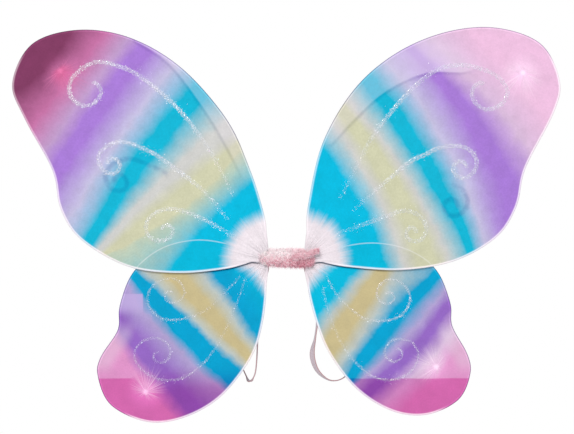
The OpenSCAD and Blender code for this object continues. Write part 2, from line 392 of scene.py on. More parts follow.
# Lines that the dye follows over a wing, as (millimetres along its axis, lean for each millimetre
# sideways, shift at BOW_AT to either side)
BOW_AT = 50
DYE_LINES = {
    "left_upper": [(72, -0.08, -4.5), (87, -0.10, 5), (114, -0.17, -2), (145, 0.05, -1), (173, 0.10, -2.5)]
    + [(200, 0.12, -1), (265, 0.05, 0), (290, 0.0, 12)],
    "right_upper": [(78, 0.25, -4), (97, 0.27, -3), (125, 0.17, -3), (142, 0.16, -1.5), (166, 0.20, -3)]
    + [(200, 0.22, -4), (230, 0.0, -3), (285, 0.0, 0)],
    "left_lower": [(53.5, 0.25, 0), (62, 0.24, 0), (90, 0.05, 0), (95, 0.06, 1), (119.5, 0.10, -2.5)]
    + [(130, 0.04, -4), (168, 0.20, 0), (200, 0.10, 0)],
    "right_lower": [(47, 0.15, 2), (54, 0.20, 2), (88, 0.30, -3), (96.5, 0.22, 4.5), (118, 0.12, -1)]
    + [(124, 0.05, -3), (151, 0.05, -4), (200, 0.10, 0)],
}
# A strip of painted light runs along the top of each upper wing, above this line, [across, up]: the ground
# behind the sheer cloth where the wing's shadow ends, with a painted shadow edge along the line
LIT_STRIP_EDGES = {
    "left": [(151, 217), (117, 194), (88, 157), (64, 120), (38, 70)],
    "right": [(44, 113), (70, 141), (100, 167), (140, 185), (184, 187), (225, 212)],
}
# Corners that close the strip's area outside the wing
LIT_STRIP_OUTSIDE = {"left": [(10, 70), (10, 245), (151, 245)], "right": [(225, 260), (10, 260), (10, 113)]}

# Colour round each knot, and the pale colour of the creases that run out of it, partly paler stretched cloth
# and partly painted light on the creases
KNOT_GLOW = {
    "left_upper": (srgb(222, 84, 136), srgb(228, 128, 174)),
    "right_upper": (srgb(247, 198, 236), srgb(254, 234, 248)),
    "left_lower": (srgb(240, 166, 220), srgb(254, 226, 246)),
    "right_lower": (srgb(244, 200, 234), srgb(254, 236, 248)),
}
# Way that most of the creases run from each knot, [across the picture, up], and the reach of the glow
# and of the creases in metres
KNOT_WAY = {
    "left_upper": (0.55, -0.84, 0.024, 0.038),
    "right_upper": (-0.30, -0.95, 0.026, 0.040),
    "left_lower": (0.30, 0.95, 0.018, 0.030),
    "right_lower": (-0.90, 0.44, 0.017, 0.030),
}

# The gathered neck of a stocking, inside and just outside the plush; up is towards its wing
NECK_OUTER = [(28, -4.5)]
NECK_INNER = [(18.8, 17), (18.0, 9)]
# The neck takes the place of the outline's points lower than this
NECK_FROM = 26
# Point that the pleats of the neck radiate from, their number in a quarter turn, and their depth
PLEAT_FOCUS = (12, -4)
PLEATS = 26
PLEAT_DEPTH = 0.5
# Distance between the middle of the bag and its cloth, away from the wire
SLACK_HALF = 1.05
# The mesh: spacing along the rim, rows inside it, spacing of the open cloth, reach of the pleats' rows
# from their focus, and rings round the knot
RIM_STEP = 1.5
RIM_RINGS = [0.35, 0.9, 1.45, 2.2, 3.4, 5.2]
GRID_STEP = 3.0
FAN_REACH = 52
KNOT_RINGS = [0.8, 1.7, 2.6, 3.4, 4.4, 5.6, 7.0, 9.0, 11.5, 14.5, 18.0, 22.0]
# How much glue and how many flakes for each step lie on a wing's lines
GLUE = {"left_upper": 1.0, "right_upper": 1.35, "left_lower": 1.5, "right_lower": 1.7}
FLAKES = {"left_upper": 8.0, "right_upper": 4.5, "left_lower": 2.6, "right_lower": 2.6}
# How thickly each glitter line was laid, where it is not 1
GLITTER_SHARE = {
    ("left_upper", "bottom"): 0.85,
    ("right_upper", "top"): 0.8,
    ("right_upper", "bottom"): 0.68,
    ("left_lower", "outer"): 0.75,
    ("left_lower", "inner"): 0.7,
    ("right_lower", "inner"): 0.8,
}
# Spacing of points along a glitter line, and rounds of smoothing for its curls
LINE_STEP = 0.9
LINE_SMOOTHING = 8
# The painted shadow of each glitter line, cast through the sheer front layer onto the back one, lies this far
# from it, [across, up]
GLITTER_SHADOW_SHIFT = {"left": np.array([-7, -17]), "right": np.array([-9, -38])}
GLITTER_SHADOW_PROFILE = [(0, 1.0), (1.6, 0.75), (3.4, 0.0)]
# Share of the middle glitter line after which its painted shadow starts
GLITTER_SHADOW_FROM = {"left": 0.42, "right": 0.62}
# Offsets of points from the other wing's rim: the lower wing's rim where it shows through the upper one, and
# the upper wing's rim, under which a painted shadow lies on the lower one
UNDER_ROWS = (0.0, 0.5, 1.1, 2.0)
# A distance that is out of reach of every mark on the cloth
FAR = 20.0
# The glitter lines by level
LINES = {"upper": ("top", "middle", "bottom"), "lower": ("outer", "inner")}


def front_outline(node):
    """Outline of a flat CAD plate as [x, z] points in order: the edge of its front face."""
    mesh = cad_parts[node].data
    corners = [tuple(round(c / MM, 3) for c in v.co) for v in mesh.vertices]
    front = min(c[1] for c in corners)
    follow = {}
    for face in mesh.polygons:
        ring = [corners[v] for v in face.vertices]
        if all(abs(c[1] - front) < 0.01 for c in ring):
            for a, b in zip(ring, ring[1:] + ring[:1]):
                if follow.get(b, {}).pop(a, None) is None and a != b:
                    follow.setdefault(a, {})[b] = True
    start = next(a for a in follow if follow[a])
    loop = [start]
    while True:
        after = next(iter(follow[loop[-1]]))
        if after == start:
            return np.array([[c[0], c[2]] for c in loop])
        loop.append(after)


def centre_line(node, hand):
    """Middle line and width of a glitter ribbon, as [across, up, width], from its wide end."""
    loop = front_outline(node) * [hand, 1]
    count = len(loop)
    half = count // 2
    best = None
    for start in range(count):
        one = loop[(start + np.arange(half)) % count]
        other = loop[(start - 1 - np.arange(half)) % count]
        width = np.linalg.norm(one - other, axis=1)
        if best is None or width.sum() < best[0]:
            best = (width.sum(), (one + other) / 2, width)
    line = np.column_stack([best[1], best[2]])
    line = evenly(line if line[0, 2] > line[-1, 2] else line[::-1], LINE_STEP)
    for _ in range(LINE_SMOOTHING):
        line[1:-1] = line[:-2] / 4 + line[1:-1] / 2 + line[2:] / 4
    return line


class Wing:
    """Flat layout of one wing and the height of its cloth over that layout."""

    def __init__(self, side, level):
        self.name = f"{side}_{level}"
        self.side = side
        self.level = level
        self.body = f"{self.name}_wing"
        self.hand = 1 if side == "right" else -1
        self.up = 1 if level == "upper" else -1
        low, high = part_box(f"{self.name}_stocking")
        self.plane = (low.y + high.y) / 2 / MM
        self.half = (high.y - low.y) / 2 / MM
        self.focus = np.array(PLEAT_FOCUS) * [1, self.up]
        low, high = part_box(f"{self.name}_tip_knot")
        middle = (low + high) / 2 / MM
        self.knot = np.array([self.hand * middle.x, middle.z])
        self.rim = self.make_rim()
        self.lines = {}
        self.under = None

    def make_rim(self):
        """The outline from the outer corner of the neck, round the wing, to its inner corner."""
        loop = front_outline(f"{self.name}_stocking") * [self.hand, 1]
        mouth = np.argmax(np.linalg.norm(np.roll(loop, -1, axis=0) - loop, axis=1))
        loop = np.roll(loop, -1 - mouth, axis=0)
        if loop[0, 0] < loop[-1, 0]:
            loop = loop[::-1]
        while self.up * loop[-1, 1] < NECK_FROM:
            loop = loop[:-1]
        turned = [1, self.up]
        loop = np.concatenate([np.array(NECK_OUTER) * turned, loop, np.array(NECK_INNER) * turned])
        return evenly(curve(loop, 3), RIM_STEP)

    def glitter_shadows(self):
        """The painted shadows of the curls of the middle glitter line, on an upper wing."""
        found = self.lines.get("middle")
        if found is None:
            return []
        start = int(len(found) * GLITTER_SHADOW_FROM[self.side])
        return [found[start:, :2] + GLITTER_SHADOW_SHIFT[self.side]]

    def inward(self, line):
        """Direction from the rim into the wing."""
        return left_of(line) * self.up

    def inset(self, by):
        return self.rim + by * self.inward(self.rim)

    def measures(self, flat):
        """Places along and across the bands, distance to the rim, the pleats' focus and the knot."""
        axis = np.array(DYE_AXES[self.name])
        away = flat - np.array(DYE_ROOT) * [1, self.up]
        along = away @ axis
        sideways = away @ (np.array([-axis[1], axis[0]]) * self.up)
        return (
            along,
            sideways,
            distance(flat, self.rim),
            np.linalg.norm(flat - self.focus, axis=1),
            np.linalg.norm(flat - self.knot, axis=1),
        )

    def dye_at(self, along, sideways):
        """Place along the dye's colours, its bands leaning and bowing over the wing."""
        lines = DYE_LINES[self.name]
        lines = np.array([(0, lines[0][1], 0)] + lines + [(DYE_LENGTH, 0, 0)])
        mm, lean, bow = lines.T
        spots = mm + np.outer(sideways, lean) + np.outer((sideways / BOW_AT) ** 2, bow)
        spots = np.maximum.accumulate(spots + 0.01 * np.arange(len(lines)), axis=1)
        return np.array([np.interp(a, row, mm) for a, row in zip(along, spots)])

    def height(self, flat, front):
        """Distance of the cloth from the wing's plane."""
        _, _, rim, fan, knot = self.measures(flat)
        round_wire = np.sqrt(np.maximum(self.half**2 - (self.half - np.minimum(rim, self.half)) ** 2, 0))
        settled = self.half + (SLACK_HALF - self.half) * ease((rim - self.half) / 9)
        base = np.where(rim < self.half, round_wire, settled)
        free = ease(rim / 2.5)
        away = flat - self.focus
        angle = np.arctan2(away[:, 1] * self.up, away[:, 0])
        wobble = 0.35 * np.sin(angle * 11 + 1.7 * self.up) + 0.2 * np.sin(fan / 6 + angle * 5)
        pleats = np.sin(angle * 4 * PLEATS + wobble * 3)
        pleats = pleats + 0.5 * np.sin(angle * 4 * PLEATS * 0.61 + 2 * wobble)
        base = base + free * PLEAT_DEPTH * 0.7 * pleats * np.exp(-((np.maximum(fan - 12, 0) / 20) ** 2))
        base = base + free * 0.12 * np.sin(flat[:, 0] / 13 + flat[:, 1] / 29) * np.cos(flat[:, 1] / 17)
        to_knot = flat - self.knot
        turn = np.arctan2(to_knot[:, 1], to_knot[:, 0])
        creases = np.sin(turn * 11 + np.sin(turn * 3)) + 0.6 * np.sin(turn * 17 + 1)
        near = np.exp(-knot / 8)
        if front:
            return base + free * 0.05 * creases * near * ease(knot / 5)
        return base + free * (0.3 * creases * near * ease(knot / 2) + 0.55 * np.exp(-((knot / 3.2) ** 2)))

    def spot(self, flat, front, lift=0.0):
        """Points in space on the front or the back of the cloth."""
        height = self.height(flat, front) + lift
        y = self.plane - height if front else self.plane + height
        return np.column_stack([self.hand * flat[:, 0], y, flat[:, 1]])

    def layout(self):
        """Flat points of one layer and its triangles."""
        rim = self.rim
        root = evenly([rim[-1], rim[0]], 0.35)[1:-1]
        loop = np.concatenate([rim, root])
        rows = [self.inset(by) for by in RIM_RINGS]
        fan_rows = []
        for radius in np.arange(13.0, FAN_REACH, 1.5):
            spokes = 4 * PLEATS * 3 // 2 if radius < 34 else 4 * PLEATS * 3 // 4
            angles = np.radians(np.linspace(-20, 110, spokes)) * self.up
            fan_rows.append(self.focus + radius * np.column_stack([np.cos(angles), np.sin(angles)]))
        knot_rows = [self.knot[None, :]]
        for radius in KNOT_RINGS:
            angles = np.linspace(0, 2 * math.pi, 66 if radius > 3 else 24, endpoint=False)
            knot_rows.append(self.knot + radius * np.column_stack([np.cos(angles), np.sin(angles)]))
        # Rows of points along the painted glitter shadows and along the other wing's rim
        shadow_and_rim_rows = []
        for line in self.glitter_shadows():
            shadow_and_rim_rows += beside(evenly(line, 1.6), [reach for reach, _ in GLITTER_SHADOW_PROFILE])
        shadow_and_rim_rows += beside(self.under, UNDER_ROWS)
        low, high = rim.min(0), rim.max(0)
        across = np.arange(low[0], high[0], GRID_STEP)
        up = np.arange(low[1], high[1], GRID_STEP * 0.866)
        grid = np.array([[a + (k % 2) * GRID_STEP / 2, z] for k, z in enumerate(up) for a in across])
        deep = RIM_RINGS[-1] + 0.9

        def clear(points):
            """Points inside the loop and away from the rim's rows."""
            return points[inside(points, loop) & (distance(points, rim) > deep)]

        def open_cloth(points):
            """Points away from the pleats' rows and the knot's rings."""
            points = points[np.linalg.norm(points - self.focus, axis=1) > FAN_REACH + 1]
            return points[np.linalg.norm(points - self.knot, axis=1) > KNOT_RINGS[-1] + 1]

        fan = clear(np.concatenate(fan_rows))
        knot = clear(np.concatenate(knot_rows))
        glitter_shadow = open_cloth(clear(np.concatenate(shadow_and_rim_rows)))
        grid = open_cloth(clear(grid))
        for line in self.glitter_shadows():
            grid = grid[distance(grid, line) > GLITTER_SHADOW_PROFILE[-1][0] + 1]
        grid = grid[distance(grid, self.under) > UNDER_ROWS[-1] + 1]
        rows = [row[inside(row, loop)] for row in rows]
        flat = np.concatenate([loop, *rows, fan, knot, glitter_shadow, grid])
        edge = list(range(len(loop)))
        if self.up < 0:
            edge.reverse()
        made = delaunay_2d_cdt([Vector(p) for p in flat], [], [edge], 1, 1e-4)
        flat = np.array([[p.x, p.y] for p in made[0]])
        return flat, made[2]


def wing_cloth(wing, material):
    """The stocking: a front and a back layer, joined at the rim and open at the root."""
    flat, triangles = wing.layout()
    along, sideways, rim, _, _ = wing.measures(flat)
    root_line = np.array([wing.rim[-1], wing.rim[0]])
    on_rim = (rim < 1e-3) & (distance(flat, root_line) > 1e-3)
    ends = np.linalg.norm(flat[:, None] - root_line[None], axis=2).min(1) < 1e-3
    shared = on_rim | ends
    count = len(flat)
    back = np.where(shared, np.arange(count), 0)
    back[~shared] = count + np.arange((~shared).sum())
    points = np.concatenate([wing.spot(flat, True), wing.spot(flat, False)[~shared]])
    faces = []
    for a, b, c in triangles:
        front = (a, b, c) if wing.hand > 0 else (a, c, b)
        faces.append(front)
        rear = tuple(int(back[v]) for v in reversed(front))
        if set(rear) != set(front):
            faces.append(rear)
    # Strength of the painted glitter shadows on the cloth
    glitter_shadow = np.zeros(count)
    reach, share = zip(*GLITTER_SHADOW_PROFILE)
    for line in wing.glitter_shadows():
        glitter_shadow = np.maximum(glitter_shadow, np.interp(distance(flat, line), reach, share))
    lit_strip = np.full(count, -FAR)
    if wing.up > 0:
        edge = curve(LIT_STRIP_EDGES[wing.side], 4)
        lit_strip_area = np.concatenate([edge, LIT_STRIP_OUTSIDE[wing.side]])
        lit_strip = distance(flat, edge) * np.where(inside(flat, lit_strip_area), 1, -1)
    values = {
        "dye": wing.dye_at(along, sideways),
        "lit_strip": lit_strip,
        "under": distance(flat, wing.under),
        "across": sideways,
        "rim": rim,
        "glitter_shadow": glitter_shadow,
    }
    values = {key: np.concatenate([v, v[~shared]]) for key, v in values.items()}
    values["under"][count:] = FAR
    return mesh_object(f"{wing.name}_stocking_cloth", points, faces, [material], values)


# How far the dye's edges wander over the cloth, in the knit and along the pleats, in millimetres
DRIFT = 9.0
GRAIN = 5.0
PULL = {"upper": 13.0, "lower": 7.0}
# How ragged the undyed neck's edge is and how soft, in metres
NECK_RAGGED = 0.013
NECK_SOFT = (-0.0105, 0.0060)
# Height of the step to painted shade on a lower wing in metres, below which the darker ground behind the
# sheer cloth is painted into its colour, its waviness, its softness near the middle and far out, where it
# turns from one to the other, and its tint
SHADE_STEP_HEIGHT = -0.1204
SHADE_STEP_WAVE = 0.0016
SHADE_STEP_SOFT = {"left": 0.016, "right": 0.0008}
SHADE_STEP_SHARP = 0.0007
SHADE_STEP_FROM = (0.142, 0.156)
SHADE_STEP_TINT = (0.90, 0.47, 0.74)
# Middle of the pale outer swell above it
SWELL_HEIGHT = -0.090
# How much the strip of painted light shows where the dye is violet
LIT_STRIP_ON_VIOLET = {"left": 0.16, "right": 0.26}
# Size of the knit's ribs and loops in millimetres
KNIT_RIB = 0.8
KNIT_LOOP = 0.9
# Share of light that passes straight through the open cloth
SHEER = 0.26


class StockingLook(Look):
    """Tie-dyed sheer nylon. Each of its methods adds one feature to self.colour."""

    def __init__(self, wing):
        super().__init__(f"{wing.name}_stocking")
        self.wing = wing
        self.spot = self.place()
        self.dye = self.attribute("dye")
        self.rim = self.attribute("rim")
        self.across = self.attribute("across")
        flat = self.vector("MULTIPLY", self.spot, (1, 0, 1))
        from_focus = self.vector("SUBTRACT", flat, self.in_space(wing.focus))
        from_knot = self.vector("SUBTRACT", flat, self.in_space(wing.knot))
        self.fan = self.vector("LENGTH", from_focus, out=1)
        self.knot_away = self.vector("LENGTH", from_knot, out=1)
        self.ray = self.vector("NORMALIZE", from_focus)
        self.outwards = self.vector("NORMALIZE", from_knot)
        self.drift = self.swing(self.noise(self.spot, 30, 3), DRIFT)
        self.streak = self.minus(self.noise(self.scaled(self.ray, 15.0), 1.0, 4, rough=0.7), 0.5)

    def in_space(self, flat):
        return (self.wing.hand * flat[0] * MM, 0, flat[1] * MM)

    def cover(self, share, colour):
        self.colour = self.mix(share, self.colour, colour)

    def stain(self, share, colour):
        self.colour = self.mix(share, self.colour, colour, "MULTIPLY")

    def spread_dye(self):
        """Bands whose edges wander a little, and run in streaks where the cloth is gathered."""
        grain = self.swing(self.noise(self.spot, 130, 3), GRAIN)
        pulled = self.times(self.streak, PULL[self.wing.level], self.fall(self.fan, 0.050, 0.110))
        spread = self.plus(self.dye, self.drift, grain, pulled)
        position = self.math("DIVIDE", spread, float(DYE_LENGTH), clamp=True)
        self.colour = self.ramp(position, [(mm / DYE_LENGTH, colour) for mm, colour in DYES[self.wing.name]])

    def leave_neck_white(self):
        """The neck stays undyed, with a ragged edge."""
        ragged = self.times(self.plus(self.streak, self.times(self.drift, 0.05)), NECK_RAGGED)
        reach, growth = NECK_REACH[self.wing.level]
        diagonal = (self.wing.hand * 0.707, 0, self.wing.up * 0.707)
        diagonal = self.vector("DOT_PRODUCT", self.ray, diagonal, out=1)
        grown = self.times(self.rest(diagonal), growth)
        edge = self.minus(self.plus(self.fan, ragged), grown)
        self.undyed = self.fall(edge, reach + NECK_SOFT[0], reach + NECK_SOFT[1])
        self.cover(self.undyed, WHITE)

    def mottle(self):
        """Fine streaks of painted shade along the pleats of the gathered cloth, then blotches, grit and the
        painted shadows that the glitter lines cast through the sheer cloth.
        """
        # Painted shade and light: the gathered neck's fine pleats are streaked darker and lighter
        fine = self.noise(self.scaled(self.ray, 40.0), 1.0, 3, rough=0.7)
        pleat_shaded = self.mix(1.0, self.colour, self.greys(fine, (0.3, 0.84), (0.7, 1.06)), "MULTIPLY")
        self.cover(self.fall(self.fan, 0.022, 0.062), pleat_shaded)
        self.stain(1.0, self.greys(self.noise(self.spot, 75, 4), (0.3, 0.95), (0.7, 1.04)))
        self.stain(1.0, self.greys(self.noise(self.spot, 620, 3, rough=0.7), (0.3, 0.93), (0.7, 1.055)))
        # Painted shadow of the glitter lines: a patchy dark blue stain
        patchy_shadow = self.greys(self.noise(self.spot, 140), (0.3, 0.08), (0.6, 0.3))
        self.stain(self.times(self.attribute("glitter_shadow"), patchy_shadow), srgb(92, 130, 190))

    def mark_lower(self):
        """Marks of a lower wing: a step down to painted shade, the pale swell above it, and a line of painted
        shadow under the upper wing's rim.
        """
        height = self.add("ShaderNodeSeparateXYZ", {0: self.spot}, out="Z")
        sideways = self.add("ShaderNodeSeparateXYZ", {0: self.spot}, out="X")
        wave = self.swing(self.noise(self.spot, 60), SHADE_STEP_WAVE)
        wavy_height = self.plus(height, wave)
        outwards = self.times(sideways, float(self.wing.hand))
        soft = self.change(outwards, *SHADE_STEP_FROM, SHADE_STEP_SOFT[self.wing.side], SHADE_STEP_SHARP)
        level = self.math("DIVIDE", self.minus(wavy_height, SHADE_STEP_HEIGHT), soft)
        # Painted shade below the step: the darker ground behind the sheer cloth
        self.stain(self.fall(level, -1.0, 1.0), SHADE_STEP_TINT)
        swell = self.fall(self.math("ABSOLUTE", self.plus(height, -SWELL_HEIGHT)), 0.012, 0.030)
        in_middle = self.times(self.fall(self.rim, 8.0, 20.0), self.fall(self.across, -8.0, 8.0))
        self.cover(self.times(self.times(swell, in_middle), 0.34), dyed(236, 222, 238))
        if self.wing.side == "left":
            # A small patch by the rim where the doubled cloth is paler, with two sharp edges
            patch = self.fall(self.plus(sideways, wave), -0.1445, -0.1432)
            patch = self.times(patch, self.fall(wavy_height, -0.0365, -0.0352))
            patch = self.times(patch, self.rise(height, -0.060, -0.046))
            self.cover(self.times(patch, 0.8), dyed(196, 176, 230))
        # Painted shadow: the rim of the upper wing darkens the cloth in a line near the middle
        contact_shadow = self.times(self.fall(self.attribute("under"), 0.5, 1.8), self.fall(self.fan, 0.045, 0.110))
        contact_shadow = self.times(contact_shadow, self.rise(self.fan, 0.012, 0.024))
        self.stain(self.times(contact_shadow, 0.85), srgb(70, 96, 124))

    def mark_upper(self):
        """Marks of an upper wing: a strip of painted light, the painted shadow line along its edge, and the
        lower wing's rim showing through.
        """
        lit_strip = self.attribute("lit_strip")
        reach_out = self.minus(self.fall(self.dye, 228.0, 262.0), self.fall(self.dye, 66.0, 96.0))
        violet = self.rise(self.dye, 172.0, 204.0)
        strength = self.plus(0.17, self.times(violet, LIT_STRIP_ON_VIOLET[self.wing.side]))
        # Painted light: the strip is lightened towards pale lavender
        lit_strip_share = self.times(self.rise(lit_strip, -0.9, 1.1), self.times(reach_out, strength))
        self.cover(lit_strip_share, srgb(236, 226, 240))
        # Painted shadow: a dark line just inside the strip's edge
        shadow_edge = self.fall(self.math("ABSOLUTE", self.plus(lit_strip, 1.3)), 0.0, 2.6)
        self.stain(self.times(shadow_edge, self.times(reach_out, 0.20)), srgb(128, 128, 176))
        under = self.times(self.fall(self.attribute("under"), 0.2, 0.9), self.rest(self.undyed))
        self.cover(self.times(under, 0.36), srgb(244, 244, 246))

    def crease_knot(self):
        """Rays of paler stretched cloth round the knot, partly painted light on its creases, in a glow, and
        its bright heart, also partly painted light.
        """
        across_way, up_way, glow_reach, crease_reach = KNOT_WAY[self.wing.name]
        glow, pale_and_lit = KNOT_GLOW[self.wing.name]
        facing = self.vector("DOT_PRODUCT", self.outwards, (across_way, 0, up_way), out=1)
        favour = self.change(facing, -1.0, 1.0, 0.20, 1.0)
        rays = self.noise(self.scaled(self.outwards, 15.0), 1.0, 4, rough=0.8)
        reach = self.plus(0.002, self.times(favour, crease_reach))
        fading = self.fall(self.math("DIVIDE", self.knot_away, reach), 0.05, 1.0)
        self.rays = self.times(self.greys(rays, (0.47, 0.0), (0.60, 1.0)), fading)
        self.heart = self.fall(self.knot_away, 0.0006, 0.0042)
        near = self.fall(self.math("DIVIDE", self.knot_away, favour), 0.0, glow_reach)
        self.cover(self.times(near, 0.50), glow)
        # Partly painted light: the rays and the heart are laid on in pale colour
        self.cover(self.times(self.rays, 0.72), pale_and_lit)
        self.cover(self.times(self.heart, 0.30), pale_and_lit)

    def draw_edges(self):
        """The rim is stretched pale over the wire. Away from the lower edge a dark line of painted shade runs
        along the wire's far side.
        """
        self.pale_rim = self.fall(self.rim, 1.1, 2.7)
        if self.wing.level == "upper":
            lower_edge = self.fall(self.across, -22.0, -4.0)
        else:
            lower_edge = self.rise(self.across, -8.0, 8.0)
        near_hub = self.fall(self.dye, 55.0, 105.0)
        white_edge = self.math("MAXIMUM", lower_edge, self.times(near_hub, 0.55))
        whiten = self.times(self.pale_rim, white_edge, 0.72)
        # Towards the left upper tip, in its painted shade, the rim is whitened less
        if self.wing.name == "left_upper":
            whiten = self.times(whiten, self.change(self.dye, 205.0, 250.0, 1.0, 0.45))
        self.cover(whiten, srgb(244, 234, 240))
        # Painted shade along the wire's far side, away from the lower edge
        wire_shade = self.times(self.fall(self.rim, 0.3, 1.4), self.rest(lower_edge))
        wire_shade = self.times(wire_shade, self.rest(self.math("MAXIMUM", self.undyed, near_hub)))
        self.stain(self.times(wire_shade, 0.7), srgb(112, 104, 146))

    def knit(self):
        """Fine knit, ribs along the stocking and loops across it. Gives the cloth's bumps."""
        loops = self.waves(self.dye, KNIT_LOOP)
        knit = self.times(self.plus(self.waves(self.across, KNIT_RIB), self.times(loops, 0.6)), 0.3)
        self.stain(1.0, self.greys(self.plus(knit, 0.5), (0, 0.95), (1, 1.04)))
        folds = self.noise(self.scaled(self.ray, 46.0), 1.0, 2)
        folds = self.times(folds, self.fall(self.fan, 0.018, 0.060))
        normal = self.bump(knit, 0.00006)
        normal = self.bump(folds, 0.0012, normal)
        return self.bump(self.times(self.rays, self.rest(self.heart)), 0.00015, normal)


def stocking_material(wing):
    look = StockingLook(wing)
    look.spread_dye()
    look.leave_neck_white()
    look.mottle()
    if wing.level == "upper":
        look.mark_upper()
    else:
        look.mark_lower()
    look.crease_knot()
    look.draw_edges()
    normal = look.knit()
    cloth = look.principled(Base_Color=look.colour, Roughness=0.7, Normal=normal, Specular_IOR_Level=0.08)
    clear = look.clear(look.mix(0.06, look.colour, (1.0, 1.0, 1.0)))
    # The rim, the gathered neck and the knot are dense
    dense = look.math("MAXIMUM", look.pale_rim, look.fall(look.fan, 0.020, 0.055))
    dense = look.math("MAXIMUM", dense, look.fall(look.knot_away, 0.002, 0.024))
    open_share = look.times(look.rest(dense), SHEER)
    return look.finish(look.add("ShaderNodeMixShader", {0: open_share, 1: cloth, 2: clear}))


def wire_material():
    """White coated wire with small dulled marks."""
    look = Look("wire_coating")
    place = look.place()
    marks = look.noise(place, 900, 3)
    colour = look.ramp(marks, [(0.25, srgb(214, 208, 210)), (0.6, srgb(250, 248, 248))])
    rough = look.change(marks, 0.0, 1.0, 0.28, 0.5)
    normal = look.bump(marks, 0.00005)
    return look.finish(look.principled(Base_Color=colour, Roughness=rough, Normal=normal, Coat_Weight=0.2))


def frame_wire(wing, material):
    """The bent wire just inside the rim, its two ends running into the plush."""
    low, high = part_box(f"{wing.name}_frame_wire")
    radius = (high.y - low.y) / 2 / MM
    flat = wing.inset(wing.half + 0.05)
    path = np.column_stack([wing.hand * flat[:, 0], np.full(len(flat), wing.plane), flat[:, 1]])
    points, faces = tube(round_tube(path, np.full(len(path), radius), 12))
    return mesh_object(f"{wing.name}_wire", points, faces, [material])


def thread_material():
    """Plum cotton thread: fine twisted plies."""
    look = Look("knot_thread")
    place = look.place()
    inputs = {"Vector": place, "Scale": 700.0, "Distortion": 2.0, "Detail": 2.0}
    ply = look.add("ShaderNodeTexWave", inputs, out="Fac")
    colour = look.ramp(ply, [(0.1, srgb(150, 96, 150)), (0.9, srgb(226, 190, 224))])
    normal = look.bump(ply, 0.0001)
    return look.finish(look.principled(Base_Color=colour, Roughness=0.85, Normal=normal, Sheen_Weight=0.3))


# Turns of thread round a knot, points on each turn, and the thread's radius
THREAD_TURNS = 4
THREAD_STEPS = 22
THREAD_RADIUS = 0.26


def tip_knot(wing, thread, cloth):
    """Thread wound round the gathered end of the stocking, with the cut end frilled out over it."""
    low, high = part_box(f"{wing.name}_tip_knot")
    base, top = low.y / MM, high.y / MM
    outer = (high.x - low.x) / 2 / MM
    centre = np.array([wing.hand * wing.knot[0], 0, wing.knot[1]])
    turns = np.arange(THREAD_TURNS * THREAD_STEPS + 1) / THREAD_STEPS
    sweep = 2 * math.pi * turns
    ring = 1.35 + 0.12 * np.sin(turns * 5.1)
    depth = base + THREAD_RADIUS + (top - base - 3 * THREAD_RADIUS) * turns / THREAD_TURNS
    path = centre + np.column_stack([ring * np.cos(sweep), depth, ring * np.sin(sweep)])
    wound = tube(round_tube(path, np.full(len(path), THREAD_RADIUS), 7))
    rings = []
    angles = np.arange(60) * 2 * math.pi / 60
    frill = ((1.1, base - 0.4, 0.0), (1.1, top - 0.5, 0.0), (1.6, top - 0.2, 0.1), (outer, top, 0.32))
    for radius, y, ruffle in frill:
        wave = ruffle * np.sin(angles * 9 + np.sin(angles * 2))
        reach = radius * (1 + 0.1 * ruffle * np.sin(angles * 5 + 1))
        ring = np.column_stack([reach * np.cos(angles), y + wave - ruffle / 2, reach * np.sin(angles)])
        rings.append(centre + ring)
    stub = tube(rings, closed_ends=False)
    picks = [0] * len(wound[1]) + [1] * len(stub[1])
    return mesh_object(f"{wing.name}_knot", *joined(wound, stub), [thread, cloth], picks=picks)


def stub_material():
    """Gathered, doubled stocking at the knot."""
    look = Look("gathered_stub")
    place = look.place()
    crumple = look.noise(place, 1500, 3)
    colour = look.ramp(crumple, [(0.3, srgb(214, 150, 206)), (0.7, srgb(244, 214, 240))])
    return look.finish(look.principled(Base_Color=colour, Roughness=0.7, Normal=look.bump(crumple, 0.0002)))


# ---------------------------------------------------------------- glitter lines


def glue_material():
    """Clear-drying glue full of fine glitter: patchy and whitish."""
    look = Look("glitter_glue")
    place = look.place()
    patches = look.noise(place, 760, 4, rough=0.7)
    specks = look.add("ShaderNodeTexVoronoi", {"Vector": place, "Scale": 1900.0}, out="Color")
    speck = look.add("ShaderNodeSeparateColor", {0: specks}, out=0)
    stops = [(0.0, srgb(214, 228, 240)), (0.75, srgb(240, 242, 248)), (0.95, srgb(255, 255, 255))]
    colour = look.ramp(speck, stops)
    cover = look.times(look.greys(patches, (0.40, 0.04), (0.62, 0.36)), look.attribute("cover"))
    normal = look.bump(speck, 0.0002)
    glue = look.principled(Base_Color=colour, Roughness=0.3, Normal=normal, Coat_Weight=0.3)
    clear = look.clear((1, 1, 1, 1))
    return look.finish(look.add("ShaderNodeMixShader", {0: cover, 1: clear, 2: glue}))


def flake_material():
    """Silver and pastel flakes, each with its own tint."""
    look = Look("glitter_flake")
    tint = look.attribute("tint")
    stops = [(0.0, srgb(255, 255, 255)), (0.5, srgb(250, 250, 255)), (0.7, srgb(214, 238, 252))]
    stops += [(0.85, srgb(250, 222, 244)), (1.0, srgb(255, 252, 236))]
    colour = look.ramp(tint, stops)
    return look.finish(look.principled(Base_Color=colour, Roughness=0.25))


# Section of a strip of glue, as [share of its half width, share of its height]
BEAD = [(-1.0, 0.0), (-0.8, 0.6), (-0.4, 0.95), (0.0, 1.0), (0.4, 0.95), (0.8, 0.6), (1.0, 0.0)]


